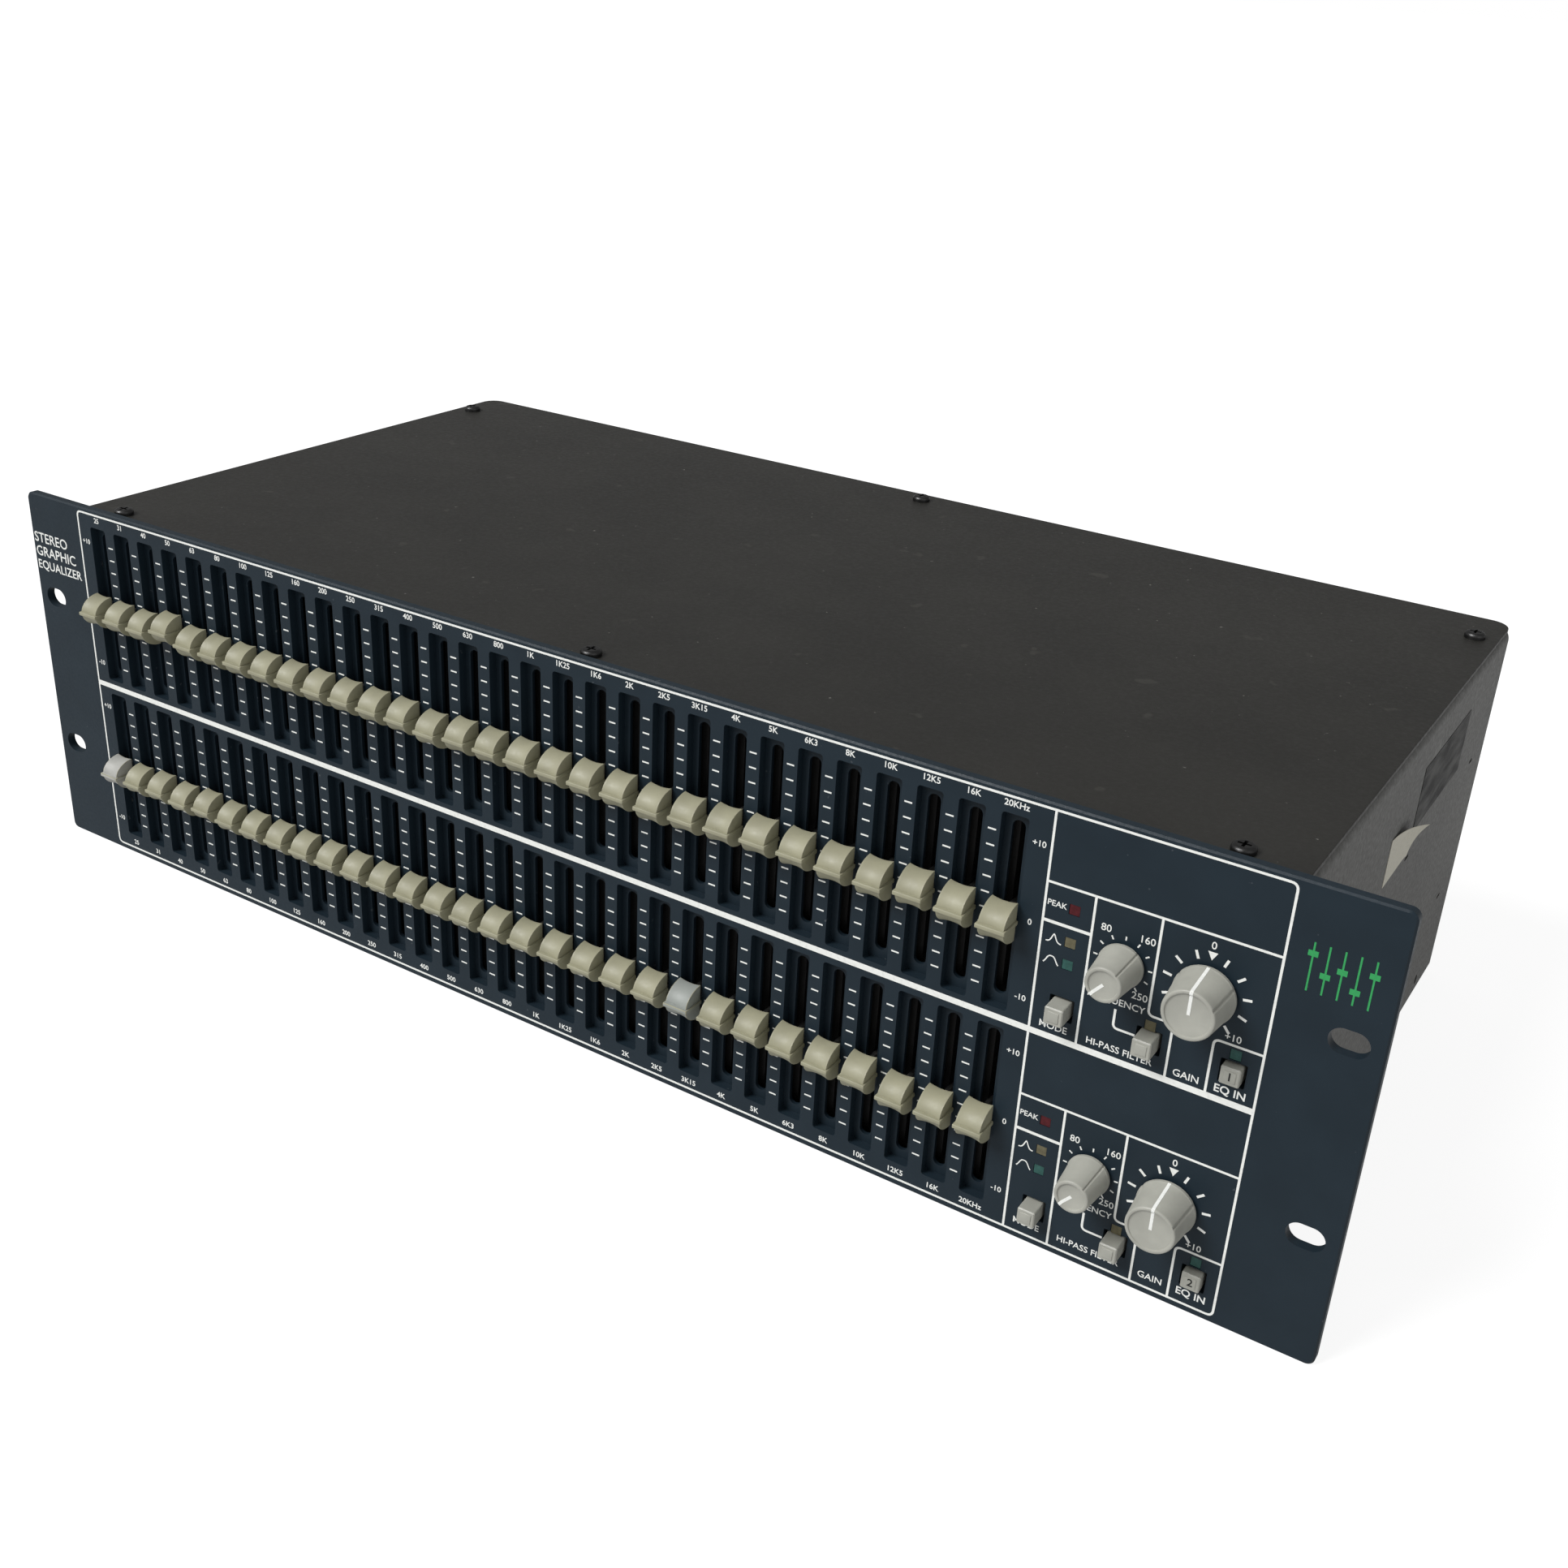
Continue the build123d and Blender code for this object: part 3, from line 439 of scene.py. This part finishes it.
def lettering(mesh, text, x, z, height, weight=0.0, align="CENTER", front=-PRINT_THICK, material=0):
    """Raised letters of one height on an upright face, centred on x and z."""
    data = bpy.data.curves.new("letters", "FONT")
    data.body = text
    data.size = height / 0.7
    data.align_x = align
    data.align_y = "CENTER"
    data.extrude = PRINT_THICK / 2
    data.offset = weight
    data.resolution_u = 3
    letters = bpy.data.objects.new("letters", data)
    bpy.context.scene.collection.objects.link(letters)
    bpy.context.view_layer.update()
    flat = bpy.data.meshes.new_from_object(letters)
    upright = Matrix.Rotation(math.pi / 2, 4, "X")
    flat.transform(Matrix.Translation((x, front + PRINT_THICK / 2, z)) @ upright)
    first = len(mesh.faces)
    mesh.from_mesh(flat)
    mesh.faces.ensure_lookup_table()
    for face in mesh.faces[first:]:
        face.material_index = material
    bpy.data.objects.remove(letters)
    bpy.data.meshes.remove(flat)
    bpy.data.curves.remove(data)


# ---- Panel print ----

LINE = 0.65


def print_frames(mesh):
    """The frame, the band between the channels and the boxes round the controls."""
    corners = [(-FRAME_HALF_X, FRAME_LOW), (FRAME_HALF_X, FRAME_LOW), (FRAME_HALF_X, FRAME_HIGH)]
    corners.append((-FRAME_HALF_X, FRAME_HIGH))
    strip(mesh, rounded(corners, 1.8, closed=True), LINE, closed=True)
    inner = FRAME_HALF_X - LINE / 2
    strip(mesh, [(-inner, BAND_LINE_Z), (inner, BAND_LINE_Z)], 1.8)
    lift = PRINT_THICK / 4
    for low, high in ((BAND_LINE_Z + 0.9, FRAME_HIGH - LINE / 2), (FRAME_LOW + LINE / 2, BAND_LINE_Z - 0.9)):
        strip(mesh, [(CONTROL_LEFT, low), (CONTROL_LEFT, high)], LINE)
    left = CONTROL_LEFT + LINE / 2
    for drop in CHANNELS.values():
        floor = BAND_LINE_Z + 0.9 + drop if drop == 0 else FRAME_LOW + LINE / 2
        top = 45.0 + drop
        shelf = 17.35 + drop
        under = -PRINT_THICK - lift
        strip(mesh, [(left, top), (inner, top)], LINE)
        strip(mesh, [(left, 34.05 + drop), (166.9, 34.05 + drop)], 0.85)
        strip(mesh, [(167.2, floor), (167.2, top - LINE / 2)], LINE, front=under)
        strip(mesh, rounded([(184.6, top - LINE / 2), (184.6, shelf), (190.95, shelf)], 1.6), LINE)
        strip(mesh, [(191.25, floor), (191.25, shelf + LINE / 2)], LINE, front=under)
        strip(mesh, rounded([(201.8, floor), (201.8, shelf), (inner, shelf)], 1.6), LINE)
        strip(mesh, rounded([(176.2, 15.75 + drop), (176.2, 10.25 + drop), (182.1, 10.25 + drop)], 1.4), LINE)


def print_scales(mesh):
    """Eleven marks between each two faders, and the numbers above and beside them."""
    for row, zero in ROW_ZERO.items():
        for band in range(BANDS - 1):
            x = band_x(band) + BAND_PITCH / 2
            for mark in range(-5, 6):
                z = zero + 4.5 * mark
                strip(mesh, [(x - 1.15, z), (x + 1.15, z)], 0.45)
        for band, name in enumerate(BAND_NAMES):
            lettering(mesh, name, band_x(band), BAND_NAME_HEIGHT[row], 1.75, 0.035)
        for x, texts in ((150.6, ("+10", "0", "-10")), (-211.2, ("+10", "", "-10"))):
            for text, step in zip(texts, (22.5, 0.0, -22.5)):
                if text:
                    lettering(mesh, text, x, zero + step, 1.7, 0.03)


def dial_marks(mesh, centre, radii, width, angles):
    """Short radial marks round a knob."""
    for angle in angles:
        for side in (-1, 1):
            x, z = turned(side * angle)
            strip(mesh, [(centre[0] + r * x, centre[1] + r * z) for r in radii], width)


def bell_curve(mesh, x, z, spread, power):
    """The small response-curve sign beside a lamp: a narrow peak with flat tails, or a wide hump."""
    points = []
    for step in range(29):
        across = step / 14 - 1
        points.append((x + 2.1 * across, z - 1.2 + 2.4 * math.exp(-(abs(across) / spread) ** power)))
    strip(mesh, points, 0.33)


def print_controls(mesh):
    """Marks, numbers and plain function words round the knobs, buttons and lamps."""
    for drop in CHANNELS.values():
        gain = (GAIN_CENTRE[0], GAIN_CENTRE[1] + drop)
        dial_marks(mesh, gain, (9.1, 11.4), 0.7, (21, 50, 80, 110, 141))
        tip = [mesh.verts.new((gain[0] + x, y, gain[1] + z)) for y in (-PRINT_THICK, 0)
               for x, z in ((0, 9.2), (1.25, 11.5), (-1.25, 11.5))]
        mesh.faces.new(tip[:3])
        mesh.faces.new(tip[3:][::-1])
        for a, b in ((0, 1), (1, 2), (2, 0)):
            mesh.faces.new((tip[a], tip[a + 3], tip[b + 3], tip[b]))
        lettering(mesh, "0", gain[0], gain[1] + 13.2, 2.0, 0.02)
        lettering(mesh, "+10", gain[0] + 8.4, gain[1] - 9.7, 1.9, 0.02)
        lettering(mesh, "-10", gain[0] - 8.4, gain[1] - 9.7, 1.9, 0.02)
        filter_dial = (FREQUENCY_CENTRE[0], FREQUENCY_CENTRE[1] + drop)
        dial_marks(mesh, filter_dial, (6.7, 7.8), 0.4, (28.5, 56, 87, 115, 144))
        strip(mesh, [(filter_dial[0], filter_dial[1] + r) for r in (6.7, 7.8)], 0.4)
        for text, x, z, height in (
            ("80", 170.8, 37.4, 2.0), ("160", 181.6, 37.5, 2.0),
            ("250", 181.8, 21.4, 2.0), ("40", 170.6, 21.4, 2.0),
            ("FREQUENCY", 176.0, 17.9, 1.9), ("HI-PASS FILTER", 178.6, 4.05, 1.9),
            ("MODE", 160.5, 4.1, 1.95), ("GAIN", 196.5, 4.0, 2.0),
            ("EQ IN", 207.8, 4.0, 2.2), ("PEAK", 157.3, 39.3, 1.6),
        ):
            lettering(mesh, text, x, z + drop, height, 0.05 if text == "EQ IN" else 0.02)
        bell_curve(mesh, 157.6, 29.6 + drop, 0.36, 1.7)
        bell_curve(mesh, 157.6, 23.2 + drop, 0.72, 3.2)


def make_print(materials):
    """All the white printing on the panel, a plain title and a small green ornament."""
    mesh = bmesh.new()
    print_frames(mesh)
    print_scales(mesh)
    print_controls(mesh)
    for text, z in (("STEREO", 50.0), ("GRAPHIC", 44.9), ("EQUALIZER", 39.9)):
        lettering(mesh, text, -240.2, z, 3.6 if len(text) < 8 else 3.2, 0.03, align="LEFT")
    piece = finish_mesh("panel_print", mesh, [materials["white_ink"]], "chassis")

    mesh = bmesh.new()
    for column, height in enumerate((3.5, -1.5, 1.0, -3.0, 2.5)):
        x = 220.5 + 3.6 * column
        strip(mesh, [(x, 38.5), (x, 51.5)], 0.45)
        strip(mesh, [(x - 1.2, 45 + height), (x + 1.2, 45 + height)], 1.5, front=-1.5 * PRINT_THICK)
    piece = finish_mesh("panel_ornament", mesh, [materials["green_ink"]], "chassis")


# ---- Fader caps ----

CAP_HALF_WIDTH = 3.7
CAP_HALF_HEIGHT = 5.6
CAP_BACK = -0.4
CAP_FRONT = -7.9
CAP_HOLLOW = 0.55
CAP_BEVEL = 0.2
RIDGE_HALF_WIDTH = 4.25
RIDGE_HALF_THICK = 0.62
RIDGE_FRONT = -8.5
RIDGE_BEVEL = 0.25
LEVER_HALF_THICK = 0.6
LEVER_HALF_HEIGHT = 2.5
LEVER_FRONT = -1.0
LEVER_BACK = 11.0
COLUMNS = 12
ROWS = 22


def cap_body(mesh, x, z, material):
    """A half-oval block, hollowed across its width so that a fingertip sits in it."""
    grid = []
    for row in range(ROWS + 1):
        angle = math.pi / 2 * (2 * row / ROWS - 1)
        line = []
        for column in range(COLUMNS + 1):
            across = 2 * column / COLUMNS - 1
            hollow = CAP_HOLLOW * (1 - across**2)
            y = CAP_BACK - (CAP_BACK - CAP_FRONT - hollow) * math.cos(angle)
            height = (CAP_HALF_HEIGHT - hollow) * math.sin(angle)
            line.append(mesh.verts.new((x + CAP_HALF_WIDTH * across, y, z + height)))
        grid.append(line)
    faces = []
    for row in range(ROWS):
        for column in range(COLUMNS):
            low, high = grid[row], grid[row + 1]
            faces.append(mesh.faces.new((low[column], low[column + 1], high[column + 1], high[column])))
    faces.append(mesh.faces.new([line[0] for line in grid]))
    faces.append(mesh.faces.new([line[-1] for line in reversed(grid)]))
    faces.append(mesh.faces.new([*grid[0][::-1], *grid[-1]]))
    for face in faces:
        face.material_index = material
    outline = list({edge for face in faces[-3:] for edge in face.edges})
    bmesh.ops.recalc_face_normals(mesh, faces=faces)
    bmesh.ops.bevel(
        mesh, geom=outline, offset=CAP_BEVEL, segments=3, profile=0.5, affect="EDGES", clamp_overlap=True
    )


def make_caps(materials):
    """Three caps and three levers for each octave of each channel."""
    odd_caps = {("lower", 0): 1, ("lower", 21): 2}
    for row, zero in ROW_ZERO.items():
        for octave, octave_name in enumerate(OCTAVES):
            node = f"{row}_faders_{octave_name}"
            caps = bmesh.new()
            levers = bmesh.new()
            for band in range(3 * octave, 3 * octave + 3):
                x = band_x(band)
                z = zero + ROW_REST + CAP_OFFSETS[row].get(band, 0.0)
                tint = odd_caps.get((row, band), 0)
                cap_body(caps, x, z, tint)
                ridge_low = (x - RIDGE_HALF_WIDTH, RIDGE_FRONT, z - RIDGE_HALF_THICK)
                ridge_high = (x + RIDGE_HALF_WIDTH, -0.5, z + RIDGE_HALF_THICK)
                block(caps, ridge_low, ridge_high, RIDGE_BEVEL, tint)
                lever_low = (x - LEVER_HALF_THICK, LEVER_FRONT, z - LEVER_HALF_HEIGHT)
                lever_high = (x + LEVER_HALF_THICK, LEVER_BACK, z + LEVER_HALF_HEIGHT)
                block(levers, lever_low, lever_high, 0.15)
            plastics = [materials["khaki"], materials["pale"], materials["bluish"]]
            piece = finish_mesh(f"{row}_caps_{octave_name}", caps, plastics, node)
            lever = finish_mesh(f"{row}_levers_{octave_name}", levers, [materials["zinc"]], node)
            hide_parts(node)


# ---- Knobs and buttons ----

KNOB_TURNS = 240
GROOVE_ANGLES = (60.0, 180.0, 300.0)
GROOVE_HALF_ANGLE = 5.0
GROOVE_DEPTH = 0.28
POINTER_HALF_WIDTH = 0.42
POINTER_RISE = 0.05
POINTER_ROOT = 0.3
SPINDLE_RADIUS = 3.0
SPINDLE_LENGTH = 24.0
SPINDLE_MIDDLE = 3.5


def make_knob(name, centre, base, tip, pointer, materials):
    """A tapered knob with a rimmed cap, three shallow grooves, a white pointer and its spindle."""
    rim = tip - 0.9
    profile = [
        (base - 1.2, -0.8, False), (base - 0.15, -0.8, False), (base, -1.0, True), (base, -1.8, True),
        (base - 0.25, -2.2, True), (tip + 0.1, -11.9, True), (tip, -12.2, True), (tip - 0.12, -12.4, False),
        (tip - 0.3, -12.5, False), (rim + 0.15, -12.5, False), (rim, -12.42, False),
        (rim - 0.12, -12.1, False), (rim - 0.3, -12.02, False),
    ]
    mesh = bmesh.new()
    rings = []
    for radius, y, grooved in profile:
        ring = []
        for step in range(KNOB_TURNS):
            angle = 360.0 * step / KNOB_TURNS
            r = radius
            off_groove = min(abs(angle - groove) for groove in GROOVE_ANGLES) / GROOVE_HALF_ANGLE
            if grooved and off_groove < 1.0:
                r -= GROOVE_DEPTH * (1 + math.cos(math.pi * off_groove)) / 2
            x, z = turned(angle + pointer)
            ring.append(mesh.verts.new((centre[0] + r * x, y, centre[1] + r * z)))
        rings.append(ring)
    for low, high in zip(rings, rings[1:]):
        for step in range(KNOB_TURNS):
            after = (step + 1) % KNOB_TURNS
            mesh.faces.new((low[step], low[after], high[after], high[step]))
    mesh.faces.new(rings[0])
    mesh.faces.new(rings[-1][::-1])
    knob = finish_mesh(f"{name}_body", mesh, [materials["control"]], name, 30.0)

    mesh = bmesh.new()
    ahead = Vector(turned(pointer))
    side = Vector((ahead.y, -ahead.x)) * POINTER_HALF_WIDTH
    path = [(0.05, -12.03), (rim - 0.35, -12.03), (rim + 0.1, -12.5), (tip - 0.25, -12.5)]
    path += [(tip + 0.02, -12.15), (tip + 0.12, -11.8), (base - 0.25, -2.3), (base, -1.7)]
    rails = []
    for radius, y in path:
        across = Vector(centre) + ahead * radius
        for lift in (POINTER_RISE, -POINTER_ROOT):
            grown = across + ahead * (lift if y > -12.0 else 0.0)
            depth = y - (lift if y <= -12.0 else 0.0)
            pair = [(grown.x + s * side.x, depth, grown.y + s * side.y) for s in (-1, 1)]
            rails.append([mesh.verts.new(point) for point in pair])
    tops, undersides = rails[0::2], rails[1::2]
    for here, after in zip(range(len(tops)), range(1, len(tops))):
        mesh.faces.new((tops[here][0], tops[here][1], tops[after][1], tops[after][0]))
        mesh.faces.new((undersides[after][0], undersides[after][1], undersides[here][1], undersides[here][0]))
        for end in (0, 1):
            top_pair = (tops[here][end], tops[after][end])
            mesh.faces.new((*top_pair, undersides[after][end], undersides[here][end]))
    for end in (0, -1):
        mesh.faces.new((tops[end][0], tops[end][1], undersides[end][1], undersides[end][0]))
    line = finish_mesh(f"{name}_pointer", mesh, [materials["white_ink"]], name)

    mesh = bmesh.new()
    sizes = {"radius1": SPINDLE_RADIUS, "radius2": SPINDLE_RADIUS, "depth": SPINDLE_LENGTH}
    bmesh.ops.create_cone(mesh, cap_ends=True, segments=48, **sizes)
    middle = Matrix.Translation((centre[0], SPINDLE_MIDDLE, centre[1]))
    turn = middle @ Matrix.Rotation(math.pi / 2, 4, "X")
    bmesh.ops.transform(mesh, matrix=turn, verts=mesh.verts)
    spindle = finish_mesh(f"{name}_spindle", mesh, [materials["aluminium"]], name)
    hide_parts(name)


def make_knobs(materials):
    """A gain and a frequency knob for each channel."""
    for row, drop in CHANNELS.items():
        centre = (GAIN_CENTRE[0], GAIN_CENTRE[1] + drop)
        make_knob(f"{row}_gain_knob", centre, 8.0, 6.75, 0.0, materials)
        centre = (FREQUENCY_CENTRE[0], FREQUENCY_CENTRE[1] + drop)
        make_knob(f"{row}_frequency_knob", centre, 6.0, 4.8, -140.0, materials)


PAD_RISE = 0.2
PAD_INSET = 1.0


def make_button_faces(materials):
    """A raised square pad on each button, and the channel number on each EQ button."""
    for row in CHANNELS:
        for name in ("mode", "filter", "eq"):
            node = f"{row}_{name}_button"
            low, high = [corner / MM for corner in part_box(node)]
            pad = bmesh.new()
            pad_low = (low.x + PAD_INSET, low.y - PAD_RISE, low.z + PAD_INSET)
            block(pad, pad_low, (high.x - PAD_INSET, low.y + 0.5, high.z - PAD_INSET), 0.15)
            finish_mesh(f"{node}_pad", pad, [materials["control"]], node)
    for row, number in (("upper", "1"), ("lower", "2")):
        mesh = bmesh.new()
        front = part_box(f"{row}_eq_button")[0].y / MM - PAD_RISE
        height = EQ_CENTRE[1] + CHANNELS[row]
        lettering(mesh, number, EQ_CENTRE[0], height, 2.3, 0.04, front=front - PRINT_THICK)
        piece = finish_mesh(f"{row}_eq_number", mesh, [materials["black_ink"]], f"{row}_eq_button")


# ---- Case details ----


def curled_sheet(name, low, high, curl, material, body="chassis"):
    """A thin patch on the right side of the case, whose rear upper corner may roll forward off it."""
    mesh = bmesh.new()
    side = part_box("chassis_tray")[1].x / MM
    steps = 16
    skins = []
    for lift in (0.0, 0.12):
        grid = []
        for row in range(steps + 1):
            line = []
            for column in range(steps + 1):
                u, v = column / steps, row / steps
                away = curl * max(0.0, 0.8 * u + 0.7 * v - 0.62) ** 2
                y = low[0] + (high[0] - low[0]) * u
                z = low[1] + (high[1] - low[1]) * v
                line.append(mesh.verts.new((side + lift + away, y - 0.55 * away, z - 0.45 * away)))
            grid.append(line)
        skins.append(grid)
    for grid in skins:
        for row in range(steps):
            for column in range(steps):
                mesh.faces.new((grid[row][column], grid[row][column + 1], grid[row + 1][column + 1],
                                grid[row + 1][column]))
    inner, outer = skins
    border = [(0, c) for c in range(steps)] + [(r, steps) for r in range(steps)]
    border += [(steps, c) for c in range(steps, 0, -1)] + [(r, 0) for r in range(steps, 0, -1)]
    for index, (row, column) in enumerate(border):
        next_row, next_column = border[(index + 1) % len(border)]
        mesh.faces.new((inner[row][column], inner[next_row][next_column], outer[next_row][next_column],
                        outer[row][column]))
    piece = finish_mesh(name, mesh, [material], body)


def make_floor():
    """A plain white floor that looks bright, so only a faint shadow shows, but lights the case little."""
    bpy.ops.mesh.primitive_plane_add(size=30.0, location=(0, 0, FLOOR_HEIGHT))
    floor = bpy.context.object
    floor.name = "floor"
    white = new_material("white_floor", (0.25, 0.25, 0.25), 0.9, Specular_IOR_Level=0.0)
    shader = white.node_tree.nodes["Principled BSDF"]
    shader.inputs["Emission Color"].default_value = (1.0, 1.0, 1.0, 1.0)
    glow = seen_strength(white.node_tree, 0.4, 0.88)
    white.node_tree.links.new(glow, shader.inputs["Emission Strength"])
    floor.data.materials.append(white)


make_camera()
make_light()
materials = make_materials()
dress_nodes(materials)
make_print(materials)
make_caps(materials)
make_knobs(materials)
make_button_faces(materials)
curled_sheet("blank_sticker", (94, 21.8), (119, 36.8), 6.5, materials["cream"])
curled_sheet("grey_patch", (121, 28.3), (175, 48.8), 0.0, materials["patch"])
make_floor()
